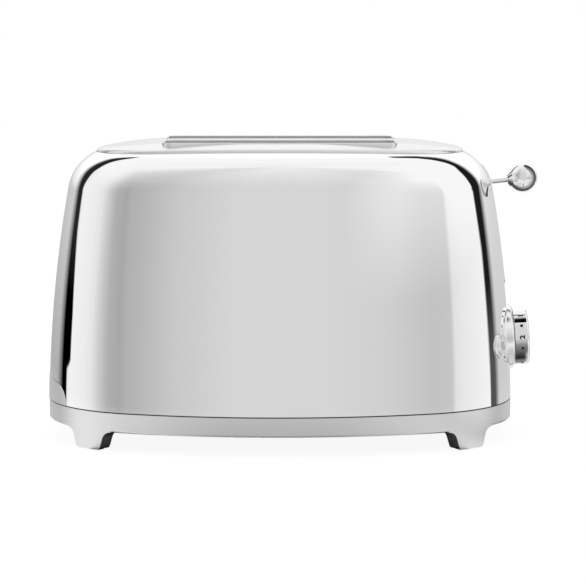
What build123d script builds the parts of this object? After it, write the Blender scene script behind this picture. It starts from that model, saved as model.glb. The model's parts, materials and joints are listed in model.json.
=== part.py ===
from build123d import *
import os
from math import acos, asin, atan2, cos, degrees, radians, sin, tan

# Two-slice retro toaster in millimetres: +Z up, +X towards the lever end, the broad front at -Y.
# It is modelled about the middle of its body, and moved at the end so that its origin lies under
# the middle of everything, the lever's ball included.

# Plan of the body: two shallow front arcs, four large corners and two nearly flat ends
body_length = 310.0
body_depth = 195.0
body_height = 198.0
front_bow_radius = 312.0
end_bow_radius = 900.0
end_bow_width = 8.0

# Upright profile of the body shell
wall = 1.0
rim_height = 25.2
rim_gap = 0.8
seal_inset = 0.4
shoulder_drop = 31.4
lean_at_rim = 1.05
wall_bow_radius = 880.0
shoulder_radius = 32.0
shoulder_end_lean = 70.0
crown_radius = 120.0
crown_inset = 56.0

# Base skirt and feet
skirt_height = 12.6
skirt_wall = 3.2
skirt_edge_radius = 1.5
rib_rise = 3.6
rib_wall = 1.7
shell_to_rib = 0.3
ledge_width = 9.0
ledge_thickness = 2.0
foot_angle = 50.3
foot_thickness = 9.6
foot_half_width = 10.2
foot_lean = 18.0
foot_blend_radius = 6.2
foot_corner_radius = 3.0
pad_thickness = 2.0
pad_exposed = 0.5
pad_margin = 2.4

# Base pan with its vents, rails, screws and cord gear
pan_thickness = 1.5
pan_clearance = 0.2
vent_length = 30.0
vent_width = 4.0
vent_pitch = 14.0
vent_columns = 9
vent_row_offset = 18.6
screw_head_radius = 3.4
screw_head_height = 1.8
screw_shank_radius = 1.5
screw_spread = 0.72
gland_end_gap = 22.0
gland_inset = 39.5
gland_bore_radius = 3.4
gland_body_radius = 6.0
gland_flange_radius = 8.5
gland_length = 9.0
gland_flange_thickness = 1.6
terminal_gap = 26.0
terminal_y = 30.0
terminal_half_length = 12.0
terminal_half_width = 7.0
terminal_height = 12.0
terminal_pitch = 7.0
terminal_hole_radius = 2.2
hook_end_gap = 8.0
hook_drop = 9.0
hook_post = 8.0
hook_width = 46.0
hook_lip = 9.0
hook_thickness = 2.2

# Crumb tray and its arched front
tray_half_width = 44.0
tray_floor_height = 27.0
tray_sheet = 1.0
tray_wall_height = 6.0
tray_end_gap = 8.0
tray_front_proud = 0.35
tray_front_thickness = 1.4
tray_lap = 0.1
arch_half_width = 50.3
arch_height = 43.2
arch_corner_radius = 13.0
arch_crown_radius = 210.0
arch_gap = 0.3
rail_offset = 38.5
rail_width = 3.0
running_gap = 0.2

# Top plate and slot frames
plate_end_inset = 33.0
plate_side_margin = 32.0
plate_rise = 5.02
plate_front_radius = 400.0
plate_end_radius = 300.0
plate_end_width = 8.0
plate_flat_half = 60.0
plate_fall_radius = 370.0
plate_cross_radius = 3000.0
plate_shoulder_width = 15.0
plate_shoulder_radius = 40.0
plate_thickness = 3.4
plate_edge_round = 2.0
plate_spare = 5.0
plate_bare_edge = 1.5
crown_run_on = 4.0
plate_flange = 2.0
plate_flange_overlap = 1.0
seam = 0.1
slot_end_margin = 16.5
slot_width = 34.0
slot_centre = 26.0
slot_corner_radius = 6.0
lip_width = 1.4
lip_round = 0.5
lip_proud = 0.3
slot_frame_depth = 12.0

# Chassis: two sheet end frames, reflectors and heater cards
frame_inset = 63.0
frame_sheet = 1.0
frame_side_margin = 9.0
frame_bottom = 34.0
frame_top_drop = 14.0
frame_leg_width = 7.0
frame_foot = 8.0
frame_corner_cut = 12.0
lifter_slot_width = 3.6
lifter_slot_spare = 2.0
reflector_margin = 2.0
reflector_sheet = 0.8
reflector_bottom = 40.0
reflector_drop = 5.0
reflector_hem = 6.0
card_thickness = 0.8
card_end_gap = 8.0
card_bottom = 52.0
card_drop = 6.0
card_tab = 8.0
outer_card_gap = 26.0
inner_card_gap = 21.0
ribbon_width = 2.4
ribbon_thickness = 0.25
ribbon_first = 62.0
ribbon_pitch = 12.0

# Wire guide cages, each turning on the pins of its bottom wire
wire_radius = 1.0
cage_height = 48.0
cage_drop = 3.0
cage_end_gap = 12.0
cage_wires = 9
cage_half_gap = 15.5
cage_pin_reach = 2.0
pin_clearance = 0.1

# Bread carriage, shown with its lever at the top as in rest
carriage_up = 7.0
seat_clearance = 4.2
lifter_sheet = 1.2
lifter_depth = 9.6
lifter_tab_half = 9.0
lifter_tab_length = 12.0
lifter_overrun = 5.0
lifter_ridge_width = 1.8
bracket_gap = 12.0
bracket_sheet = 1.5
bracket_margin = 2.0
tongue_rise = 12.4
tongue_half_width = 9.0
ear_length = 14.0
ear_inner_y = 14.0
rod_offset = 8.0
rod_inset = 4.0
rod_radius = 2.5
bush_radius = 5.0
ear_clearance = 1.0
flange_reach = 28.0
flange_margin = 4.0
armature_thickness = 2.0
armature_half_width = 10.0
magnet_gap = 0.3
core_half_width = 12.0
core_post = 5.0
core_height = 25.0
core_inset = 1.0
middle_post_half = 2.5
middle_post_inset = 3.0
coil_half_width = 5.8
coil_corner_radius = 1.5
coil_top_gap = 1.5
armature_inset = 0.5
spring_wire = 1.2
spring_turns = 6

# Lever: stem, ball and the trimmed slot in the end wall
lever_rise = 6.6
stem_radius = 1.75
stem_drop = 28.35
ball_radius = 9.8
ball_reach = 22.15
neck_reach = 11.95
neck_radius = 3.3
stem_in_ball = 5.0
neck_touch_share = 0.78
boss_radius = 4.5
boss_length = 8.0
lever_slot_spare = 2.5
lever_slot_rise = 37.05
lever_slot_width = 5.4
trim_width = 1.8
trim_proud = 0.7

# Browning dial, bezel, buttons and the board behind them
dial_height = 65.3
dial_radius = 19.3
dial_depth = 9.6
dial_edge_round = 1.5
bezel_foot_radius = 21.9
bezel_top_radius = 20.4
bezel_depth = 3.3
bezel_edge_round = 2.6
bezel_spigot_radius = 16.8
bezel_spigot_depth = 4.5
dial_gap = 0.3
shaft_radius = 4.0
shaft_depth = 24.0
cancel_radius = 7.2
cancel_proud = 0.8
cancel_depth = 5.4
cancel_stroke = 1.5
cap_edge_round = 0.6
running_clearance = 0.1
button_y = 39.0
button_height = 64.0
button_radius = 6.0
button_proud = 1.9
button_stroke = 1.8
button_body = 8.0
button_stem_radius = 2.5
ring_radius = 8.35
ring_proud = 1.1
ring_depth = 3.0
ring_flange_radius = 10.0
ring_flange_depth = 2.0
ring_flange_thickness = 1.0
board_inset = 29.0
board_thickness = 1.6
board_half_width = 38.0
board_low_reach = 28.3
board_high_reach = 31.7
post_radius = 2.5
post_y = 33.0
post_inset = 4.0
switch_height = 5.0
switch_size = 8.0
encoder_height = 6.4
encoder_size = 16.0
encoder_clearance = 0.4
relay_depth = 12.0
relay_left = -16.0
relay_right = 4.0
relay_rise = 2.0
relay_height = 12.0
contact_block_half_width = 8.0
contact_block_height = 14.0

# Plan outlines


def plan_arcs(half_length, half_depth, front_radius, end_radius, end_width):
    """Eight tangent arcs of a rounded outline, each as centre x and y, radius, first angle and sweep."""
    end_half_angle = asin(end_width / 2 / end_radius)
    front_y = front_radius - half_depth
    end_x = half_length - end_radius
    inward_x = cos(end_half_angle)
    inward_y = -sin(end_half_angle)
    joint_x = end_x + end_radius * inward_x
    joint_y = end_radius * inward_y
    span_x = joint_x
    span_y = joint_y - front_y
    along = inward_x * span_x + inward_y * span_y
    corner = (front_radius**2 - span_x**2 - span_y**2) / (2 * (front_radius - along))
    corner_x = joint_x - corner * inward_x
    corner_y = joint_y - corner * inward_y
    front_half = degrees(atan2(corner_x, front_y - corner_y))
    end_half = degrees(end_half_angle)
    turn = 90 - front_half - end_half
    return [
        (0, front_y, front_radius, -90 - front_half, 2 * front_half),
        (corner_x, corner_y, corner, -90 + front_half, turn),
        (end_x, 0, end_radius, -end_half, 2 * end_half),
        (corner_x, -corner_y, corner, end_half, turn),
        (0, -front_y, front_radius, 90 - front_half, 2 * front_half),
        (-corner_x, -corner_y, corner, 90 + front_half, turn),
        (-end_x, 0, end_radius, 180 - end_half, 2 * end_half),
        (-corner_x, corner_y, corner, 180 + end_half, turn),
    ]


def outline_face(arcs, inset):
    """The face inside a plan outline, drawn in by inset."""
    edges = [CenterArc((x, y), radius - inset, start, sweep) for x, y, radius, start, sweep in arcs]
    return make_face(edges)


def slab(arcs, inset, low, high):
    """A flat piece of a plan outline's shape, between two heights."""
    return Pos(0, 0, low) * extrude(outline_face(arcs, inset), high - low)


def ring_round(arcs, section):
    """A section, given for each arc's radius, turned through every arc of an outline and joined."""
    pieces = []
    for x, y, radius, start, sweep in arcs:
        piece = revolve(section(radius), Axis.Z, sweep)
        pieces.append(Pos(x, y, 0) * Rot(0, 0, start) * piece)
    return pieces[0].fuse(*pieces[1:]).clean()


def upright_box(x_range, y_range, z_range):
    """A block between two values on each axis."""
    size = [high - low for low, high in (x_range, y_range, z_range)]
    middle = [(high + low) / 2 for low, high in (x_range, y_range, z_range)]
    return Pos(*middle) * Box(*size)


def join(pieces):
    """One solid from pieces that meet."""
    return pieces[0].fuse(*pieces[1:]).clean()


def group(pieces):
    """Separate solids kept together in one node."""
    return Compound([solid for piece in pieces for solid in piece.solids()])


body_halves = (body_length / 2, body_depth / 2)
body_arcs = plan_arcs(*body_halves, front_bow_radius, end_bow_radius, end_bow_width)
end_arcs = body_arcs[1:4]
tray_end_arcs = body_arcs[5:8]
plate_halves = (body_length / 2 - plate_end_inset, slot_centre + plate_side_margin)
plate_arcs = plan_arcs(*plate_halves, plate_front_radius, plate_end_radius, plate_end_width)

# Heights that several pieces share
skirt_low = rim_height - skirt_height
pan_low = skirt_low + skirt_edge_radius
pan_top = pan_low + pan_thickness
frame_top = body_height - frame_top_drop
reflector_top = frame_top - reflector_drop
card_top = frame_top - card_drop
cage_top = frame_top - cage_drop
rod_foot = frame_bottom + frame_sheet
stem_wall_height = body_height - stem_drop
lever_slot_bottom = dial_height + lever_slot_rise
lever_slot_top = stem_wall_height + carriage_up + stem_radius + lever_slot_spare
carriage_down = stem_wall_height - stem_radius - lever_slot_spare - lever_slot_bottom
lifter_height = cage_height + seat_clearance + carriage_down
bracket_bottom = lifter_height - lifter_depth
board_bottom = dial_height - board_low_reach
board_top = dial_height + board_high_reach

# Places along the body that several pieces share
frame_inner = body_length / 2 - frame_inset
slot_length = 2 * (frame_inner - slot_end_margin)
card_half_length = frame_inner - card_end_gap
cage_half_length = frame_inner - cage_end_gap
tray_reach = frame_inner - tray_end_gap
lifter_far_end = frame_inner + lifter_overrun
bracket_x = frame_inner + bracket_gap
rod_x = bracket_x + rod_offset
board_x = body_length / 2 - board_inset
terminal_x = frame_inner + terminal_gap
gland_x = frame_inner - gland_end_gap
hook_x = frame_inner - hook_end_gap

# Places across the body that several pieces share
gland_y = body_depth / 2 - gland_inset
outer_card_y = slot_centre + outer_card_gap
inner_card_y = slot_centre - inner_card_gap
frame_half_width = outer_card_y + frame_side_margin
reflector_y = frame_half_width - reflector_margin
cage_outer_y = slot_centre + cage_half_gap
cage_inner_y = slot_centre - cage_half_gap
bracket_half_width = slot_centre + bracket_margin
flange_half_width = slot_centre + flange_margin
rod_y = slot_centre - rod_inset

# As many turns of ribbon as there is room for under the card's upper tabs
ribbon_turns = 1 + int((card_top - card_tab - ribbon_width - ribbon_first) // ribbon_pitch)

# Upright profile: how far the wall is drawn in, and how it leans, at a height


def profile_arcs():
    """Wall, shoulder and crown as arcs of inset and height: each one's centre, radius and two leans."""
    inset, height, lean = 0.0, rim_height + rim_gap, radians(lean_at_rim)
    shoulder_height = body_height - shoulder_drop
    first_end = asin(sin(lean) + (shoulder_height - height) / wall_bow_radius)
    arcs = []
    for radius, end in ((wall_bow_radius, first_end), (shoulder_radius, radians(shoulder_end_lean))):
        arcs.append((inset + radius * cos(lean), height - radius * sin(lean), radius, lean, end))
        inset += radius * (cos(lean) - cos(end))
        height += radius * (sin(end) - sin(lean))
        lean = end
    end = acos(cos(lean) - (crown_inset - inset) / crown_radius)
    centre_inset = inset + crown_radius * cos(lean)
    centre_height = height - crown_radius * sin(lean)
    arcs.append((centre_inset, centre_height, crown_radius, lean, end))
    return arcs


shell_profile = profile_arcs()


def wall_lean(height):
    """How far the outside wall leans at a height, in radians."""
    centre_inset, centre_height, radius, first, last = shell_profile[0]
    return asin((height - centre_height) / radius)


def wall_inset(height):
    """How far the outside wall is drawn in at a height."""
    centre_inset, centre_height, radius, first, last = shell_profile[0]
    return centre_inset - radius * cos(wall_lean(height))


def crown_height(inset):
    """Height of the shell's crown where it is drawn in by inset."""
    centre_inset, centre_height, radius, first, last = shell_profile[-1]
    return centre_height + (radius**2 - (centre_inset - inset) ** 2) ** 0.5


plate_crest = crown_height(body_halves[1] - plate_halves[1]) + plate_rise
slot_frame_top = plate_crest + lip_proud
plate_flange_low = crown_height(plate_end_inset) - wall - plate_flange_overlap


def skin_section(outer, inner):
    """A section of the skin between two depths under the shell's outer surface, for any turning radius."""

    def point(arc, lean, depth, turning_radius):
        centre_inset, centre_height, radius, first, last = arc
        reach = radius - depth
        return (turning_radius - centre_inset + reach * cos(lean), 0, centre_height + reach * sin(lean))

    def section(turning_radius):
        edges = []
        for depth in (outer, inner):
            for arc in shell_profile:
                first, last = arc[3], arc[4]
                leans = (first, (first + last) / 2, last)
                edges.append(ThreePointArc(*[point(arc, lean, depth, turning_radius) for lean in leans]))
        for arc, end in ((shell_profile[0], 3), (shell_profile[-1], 4)):
            edges.append(Line(*[point(arc, arc[end], depth, turning_radius) for depth in (outer, inner)]))
        return make_face(edges)

    return section


def end_wall_plane(across, height):
    """A plane on the right end wall, at a distance across and a height, facing straight out of the wall."""
    lean = wall_lean(height)
    corner_x, corner_y, corner = end_arcs[2][:3] if across > 0 else end_arcs[0][:3]
    radius = corner - wall_inset(height)
    turn = asin((across - corner_y) / radius) if across else 0.0
    x = corner_x + radius * cos(turn) if across else body_length / 2 - wall_inset(height)
    normal = (cos(turn) * cos(lean), sin(turn) * cos(lean), sin(lean))
    return Plane(origin=(x, across, height), x_dir=(-sin(turn), cos(turn), 0), z_dir=normal)


dial_plane = end_wall_plane(0, dial_height)
button_planes = [end_wall_plane(side * button_y, button_height) for side in (-1, 1)]


def disc(plane, radius, low, high):
    """A round piece on a plane's normal, between two distances from the plane."""
    return plane * Pos(0, 0, (low + high) / 2) * Cylinder(radius, high - low)


def stadium_prism(width, low, high, x_range):
    """A block with half-round ends, standing upright and running along X."""
    face = Plane.YZ * SlotOverall(high - low, width, rotation=90)
    return Pos(x_range[0], 0, (low + high) / 2) * extrude(face, x_range[1] - x_range[0])


def arch_prism(gap, x_range):
    """The crumb tray's arched outline, widened by a gap and run along X."""
    half, top = arch_half_width + gap, arch_height + gap
    low = rim_height
    corner = arch_corner_radius + gap
    crown = arch_crown_radius
    # The crown arc and each corner arc touch where their centres line up.
    corner_y = half - corner
    corner_z = top - crown + ((crown - corner) ** 2 - corner_y**2) ** 0.5
    lean = atan2(corner_y, corner_z - (top - crown))
    join_y, join_z = crown * sin(lean), top - crown + crown * cos(lean)
    middle = (radians(90) - lean) / 2
    bend_y, bend_z = corner_y + corner * cos(middle), corner_z + corner * sin(middle)
    edges = [
        Line((0, -half, low), (0, half, low)),
        Line((0, half, low), (0, half, corner_z)),
        ThreePointArc((0, half, corner_z), (0, bend_y, bend_z), (0, join_y, join_z)),
        ThreePointArc((0, join_y, join_z), (0, 0, top), (0, -join_y, join_z)),
        ThreePointArc((0, -join_y, join_z), (0, -bend_y, bend_z), (0, -half, corner_z)),
        Line((0, -half, corner_z), (0, -half, low)),
    ]
    return Pos(x_range[0], 0, 0) * extrude(make_face(edges), x_range[1] - x_range[0], dir=(1, 0, 0))


# Outer body


def lever_slot_tool():
    """The lever's slot through the right end wall."""
    return stadium_prism(lever_slot_width, lever_slot_bottom, lever_slot_top, (bracket_x, body_length))


def make_body_shell():
    shell = ring_round(body_arcs, skin_section(0, wall))
    shell -= slab(plate_arcs, -seam, body_height - shoulder_drop, body_height)
    shell -= lever_slot_tool()
    shell -= disc(dial_plane, bezel_spigot_radius + running_clearance, -2 * ring_depth, ring_depth)
    for plane in button_planes:
        shell -= disc(plane, ring_radius + running_clearance, -2 * ring_depth, ring_depth)
    shell -= arch_prism(arch_gap, (-body_length, -body_length / 4))
    return shell


def slot_face(side, grow):
    """A bread slot's rounded rectangle, widened by grow."""
    face = RectangleRounded(slot_length + 2 * grow, slot_width + 2 * grow, slot_corner_radius + grow)
    return Pos(0, side * slot_centre) * face


def upper_rim(solid):
    """The edges where a solid's upward faces meet its upright ones."""
    upward = [edge for face in solid.faces() if face.normal_at().Z > 0.5 for edge in face.edges()]
    upright = [edge for face in solid.faces() if abs(face.normal_at().Z) < 0.4 for edge in face.edges()]
    return [edge for edge in upward if any(edge.is_same(other) for other in upright)]


def plate_section(thickness):
    """Half the plate's section and its mirror: a nearly flat arc, then a shoulder that meets it smoothly."""
    flat = plate_halves[1] - plate_shoulder_width
    first = asin(flat / plate_cross_radius)
    inward = plate_cross_radius - plate_shoulder_radius
    shoulder = (inward * sin(first), inward * cos(first) - plate_cross_radius)
    last = asin((plate_halves[1] + plate_spare - shoulder[0]) / plate_shoulder_radius)

    def point(centre, radius, lean, side):
        return (side * (centre[0] + radius * sin(lean)), centre[1] + radius * cos(lean))

    edges = []
    for depth in (0, thickness):
        middle_radius = plate_cross_radius - depth
        middle = (0, -plate_cross_radius)
        ends = [point(middle, middle_radius, first, side) for side in (-1, 1)]
        edges.append(ThreePointArc(ends[0], (0, -depth), ends[1]))
        for side in (-1, 1):
            leans = (first, (first + last) / 2, last)
            bend = [point(shoulder, plate_shoulder_radius - depth, lean, side) for lean in leans]
            edges.append(ThreePointArc(*bend))
    for side in (-1, 1):
        depths = (0, thickness)
        edge = [point(shoulder, plate_shoulder_radius - depth, last, side) for depth in depths]
        edges.append(Line(*edge))
    return make_face(edges)


def over_crown_section(turning_radius):
    """All that is higher over the shell's crown than the plate's edge may be, for any turning radius."""
    inset, height, radius, first, last = shell_profile[-1]
    reach = radius + plate_bare_edge
    first -= radians(crown_run_on)
    leans = (first, (first + last) / 2, last)
    points = [
        (turning_radius - inset + reach * cos(lean), 0, height + reach * sin(lean)) for lean in leans
    ]
    outer = (points[0][0], 0, 2 * body_height)
    inner = (points[-1][0], 0, 2 * body_height)
    edges = [ThreePointArc(*points), Line(points[-1], inner), Line(inner, outer), Line(outer, points[0])]
    return make_face(edges)


def make_top_plate():
    # A nearly flat section with curved shoulders, swept along a path that falls away to both ends
    half = plate_halves[0] + plate_spare
    fall = asin((half - plate_flat_half) / plate_fall_radius)
    drop = plate_fall_radius * (1 - cos(fall))
    half_fall = plate_fall_radius * (1 - cos(fall / 2))
    bend = plate_flat_half + plate_fall_radius * sin(fall / 2)
    path = Wire(
        [
            ThreePointArc(
                (-half, 0, plate_crest - drop),
                (-bend, 0, plate_crest - half_fall),
                (-plate_flat_half, 0, plate_crest),
            ),
            Line((-plate_flat_half, 0, plate_crest), (plate_flat_half, 0, plate_crest)),
            ThreePointArc(
                (plate_flat_half, 0, plate_crest),
                (bend, 0, plate_crest - half_fall),
                (half, 0, plate_crest - drop),
            ),
        ]
    )
    start = Plane(origin=path @ 0, z_dir=path % 0, x_dir=(0, 1, 0))
    dome = sweep(start * plate_section(plate_thickness), path)
    plate = dome & slab(plate_arcs, 0, plate_flange_low, 2 * body_height)
    # A flange round the edge closes the shell's opening, and the edge stands as high over the crown all round.
    deep = sweep(start * plate_section(4 * plate_thickness), path)
    flange = slab(plate_arcs, 0, plate_flange_low, 2 * body_height)
    flange -= slab(plate_arcs, plate_flange, plate_flange_low, 2 * body_height)
    plate = join([plate, deep & flange]) - ring_round(body_arcs, over_crown_section)
    plate = fillet(upper_rim(plate), plate_edge_round)
    for side in (-1, 1):
        hole = extrude(slot_face(side, lip_width + seam), 2 * body_height)
        plate -= hole
    return plate


def make_slot_frame(side):
    """The bright lipped frame of one bread slot."""
    low = slot_frame_top - slot_frame_depth
    tube = extrude(slot_face(side, lip_width) - slot_face(side, 0), slot_frame_depth)
    tube = Pos(0, 0, low) * tube
    rims = tube.faces().sort_by(Axis.Z)[-1:].edges()
    return fillet(rims, lip_round)


def make_skirt():
    top = rim_height
    low = skirt_low
    rib_out = wall + shell_to_rib
    rib_in = rib_out + rib_wall
    ledge_low = pan_top
    ledge_top = ledge_low + ledge_thickness
    ledge_in = skirt_wall + ledge_width
    bend = skirt_edge_radius * (1 - cos(radians(45)))

    def section(radius):
        corners = [
            (skirt_edge_radius, low),
            (skirt_wall, low),
            (skirt_wall, ledge_low),
            (ledge_in, ledge_low),
            (ledge_in, ledge_top),
            (skirt_wall, ledge_top),
            (rib_in, top),
            (rib_in, top + rib_rise),
            (rib_out, top + rib_rise),
            (rib_out, top),
            (0, top),
            (0, low + skirt_edge_radius),
        ]
        points = [(radius - inset, 0, height) for inset, height in corners]
        edges = [Line(first, second) for first, second in zip(points[:-1], points[1:])]
        edges.append(ThreePointArc(points[-1], (radius - bend, 0, low + bend), points[0]))
        return make_face(edges)

    skirt = ring_round(body_arcs, section)
    skirt = join([skirt] + make_feet()).cut(*make_foot_pads())
    notch = arch_half_width + 2 * arch_gap
    skirt -= upright_box((-body_length, -body_length / 4), (-notch, notch), (top, 2 * top))
    for x, y in screw_points():
        skirt -= Pos(x, y, ledge_low) * Cylinder(screw_shank_radius, 3 * ledge_thickness)
    return skirt


def make_rim_seal():
    """The dark strip that the shell's lower edge stands on, a little inside the skirt's outline."""
    low, high = rim_height, rim_height + rim_gap - seam
    near, far = seal_inset, wall + shell_to_rib

    def section(radius):
        out, back = radius - near, radius - far
        return make_face(Polyline((out, 0, low), (back, 0, low), (back, 0, high), (out, 0, high), close=True))

    return ring_round(body_arcs, section)


def corner_arcs():
    """The body's four corner arcs, with the direction in which each foot stands."""
    feet = []
    for side_x, side_y in ((1, -1), (1, 1), (-1, 1), (-1, -1)):
        corner_x, corner_y, corner = body_arcs[1][:3]
        heading = degrees(atan2(side_y * sin(radians(foot_angle)), side_x * cos(radians(foot_angle))))
        feet.append((side_x * corner_x, -side_y * corner_y, corner, heading))
    return feet


def foot_profile():
    """A foot seen from outside: leaning flanks, rounded below and blended into the skirt above."""
    lean = radians(foot_lean)
    half_high = foot_half_width + (pan_low - pad_exposed) * tan(lean)
    corners = [
        (-foot_half_width, pad_exposed),
        (foot_half_width, pad_exposed),
        (half_high, pan_low),
        (-half_high, pan_low),
    ]
    face = make_face(Polyline(*corners, close=True))
    face = fillet(face.vertices().sort_by(Axis.Y)[:2], foot_corner_radius)
    # Each blend fills the corner between a flank and the skirt's lower edge, outside a touching circle.
    flank = foot_half_width + (skirt_low - pad_exposed) * tan(lean)
    tangent = foot_blend_radius / tan(radians(90 + foot_lean) / 2)
    for side in (-1, 1):
        web = [
            (side * (flank - tangent * sin(lean)), skirt_low - tangent * cos(lean)),
            (side * (flank + tangent), skirt_low),
            (side * (flank + tangent), pan_low),
            (side * (flank - tangent * sin(lean)), pan_low),
        ]
        hollow = Pos(side * (flank + tangent), skirt_low - foot_blend_radius) * Circle(foot_blend_radius)
        face += make_face(Polyline(*web, close=True)) - hollow
    return face


def corner_block(arc, face, outer_inset, inner_inset, low, high):
    """The part of a corner's ring, between two insets, that lies behind a face seen from outside."""
    x, y, radius, heading = arc
    outer, inner = radius - outer_inset, radius - inner_inset
    corners = [(inner, 0, low), (outer, 0, low), (outer, 0, high), (inner, 0, high)]
    spread = degrees(4 * foot_half_width / radius)
    ring = Rot(0, 0, -spread / 2) * revolve(make_face(Polyline(*corners, close=True)), Axis.Z, spread)
    prism = Pos(radius / 2, 0, 0) * extrude(Plane.YZ * face, radius)
    return Pos(x, y, 0) * Rot(0, 0, heading) * (ring & prism)


def make_feet():
    face = foot_profile()
    return [corner_block(arc, face, 0, foot_thickness, pad_exposed, pan_low) for arc in corner_arcs()]


def make_foot_pads():
    width = 2 * (foot_half_width - pad_margin)
    face = Pos(0, pad_thickness / 2) * Rectangle(width, pad_thickness)
    inner = foot_thickness - pad_margin
    return [corner_block(arc, face, pad_margin, inner, 0, pad_thickness) for arc in corner_arcs()]


# Base pan and what it carries


def screw_points():
    """Places of the base screws, under the skirt's ledge."""
    inset = skirt_wall + ledge_width / 2
    points = []
    for side in (-1, 1):
        arc = body_arcs[0] if side < 0 else body_arcs[4]
        for share in (-screw_spread, 0.0, screw_spread):
            angle = radians(arc[3] + arc[4] / 2 + share * arc[4] / 2)
            reach = arc[2] - inset
            points.append((arc[0] + reach * cos(angle), arc[1] + reach * sin(angle)))
    return points


def make_base_pan():
    pan = slab(body_arcs, skirt_wall + pan_clearance, pan_low, pan_top)
    slots = []
    for column in range(vent_columns):
        for side in (-1, 1):
            x = (column - (vent_columns - 1) / 2) * vent_pitch
            vent = extrude(SlotOverall(vent_length, vent_width, rotation=90), 4 * pan_thickness)
            slots.append(Pos(x, side * vent_row_offset, pan_low - pan_thickness) * vent)
    for x, y in screw_points():
        slots.append(Pos(x, y, pan_low) * Cylinder(screw_shank_radius, 4 * pan_thickness))
    slots.append(Pos(gland_x, gland_y, pan_low) * Cylinder(gland_body_radius, 4 * pan_thickness))
    return pan.cut(*slots)


def make_base_screws():
    screws = []
    for x, y in screw_points():
        head = Pos(0, 0, -screw_head_height / 2) * Cylinder(screw_head_radius, screw_head_height)
        head = fillet(head.faces().sort_by(Axis.Z)[:1].edges(), screw_head_height / 3)
        length = pan_thickness + ledge_thickness
        shank = Pos(0, 0, length / 2) * Cylinder(screw_shank_radius, length)
        screws.append(Pos(x, y, pan_low) * join([head, shank]))
    return screws


def make_tray_rails():
    rails = []
    for side in (-1, 1):
        y_range = sorted((side * rail_offset, side * (rail_offset + rail_width)))
        left = -body_length / 2 + 3 * ledge_width
        rails.append(upright_box((left, tray_reach), y_range, (pan_top, tray_floor_height - running_gap)))
    return rails


def make_cord_gland():
    body = Cylinder(gland_body_radius, gland_length)
    top = Pos(0, 0, (gland_length - gland_flange_thickness) / 2) * Cylinder(
        gland_flange_radius, gland_flange_thickness
    )
    collar_top = gland_length / 2 - gland_flange_thickness - pan_thickness
    collar = Pos(0, 0, collar_top - gland_flange_thickness / 2) * Cylinder(
        gland_flange_radius, gland_flange_thickness
    )
    gland = join([body, top, collar]) - Cylinder(gland_bore_radius, 2 * gland_length)
    centre = pan_top + gland_flange_thickness - gland_length / 2
    return Pos(gland_x, gland_y, centre) * gland


def make_cord_wrap():
    """Two hooks under the pan that hold the wound mains lead."""
    hooks = []
    for side in (-1, 1):
        low = pan_low - hook_drop
        near, far = -hook_post / 2, hook_post / 2
        y_range = (-hook_width / 2, hook_width / 2)
        post = upright_box((near, far), y_range, (low, pan_low))
        lip = upright_box((near, far + hook_lip), y_range, (low, low + hook_thickness))
        hook = join([post, lip])
        hook = fillet(hook.edges().filter_by(Axis.Z), hook_thickness)
        hooks.append(Pos(side * hook_x, 0, 0) * Rot(0, 0, 90 - side * 90) * hook)
    return hooks


def make_terminal_block():
    top = pan_top + terminal_height
    block = upright_box(
        (-terminal_half_length, terminal_half_length),
        (-terminal_half_width, terminal_half_width),
        (pan_top, top),
    )
    for step in (-1, 0, 1):
        block -= Pos(step * terminal_pitch, 0, top) * Cylinder(terminal_hole_radius, terminal_height)
    return Pos(terminal_x, terminal_y, 0) * block


# Crumb tray


def make_crumb_tray():
    inner = tray_front_thickness - tray_lap
    floor = slab(body_arcs, inner, tray_floor_height, tray_floor_height + tray_sheet)
    keep = upright_box((-body_length, tray_reach), (-tray_half_width, tray_half_width), (0, body_height))
    floor = floor & keep
    top = tray_floor_height + tray_wall_height
    left = -body_length / 2 + 2 * ledge_width
    y_range = (-tray_half_width, tray_half_width)
    walls = [upright_box((tray_reach - tray_sheet, tray_reach), y_range, (tray_floor_height, top))]
    for side in (-1, 1):
        y_range = sorted((side * tray_half_width, side * (tray_half_width - tray_sheet)))
        walls.append(upright_box((left, tray_reach), y_range, (tray_floor_height, top)))
    return join([floor] + walls) - make_tray_front()


def make_tray_front():
    skin = ring_round(tray_end_arcs, skin_section(-tray_front_proud, tray_front_thickness))
    return skin & arch_prism(0, (-body_length, -body_length / 4))


# Chassis


def cage_places():
    """Each cage's distance from the middle plane, front to back."""
    return [-cage_outer_y, -cage_inner_y, cage_inner_y, cage_outer_y]


def card_places():
    """Each heater card's distance from the middle plane, front to back."""
    return [-outer_card_y, -inner_card_y, inner_card_y, outer_card_y]


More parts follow.
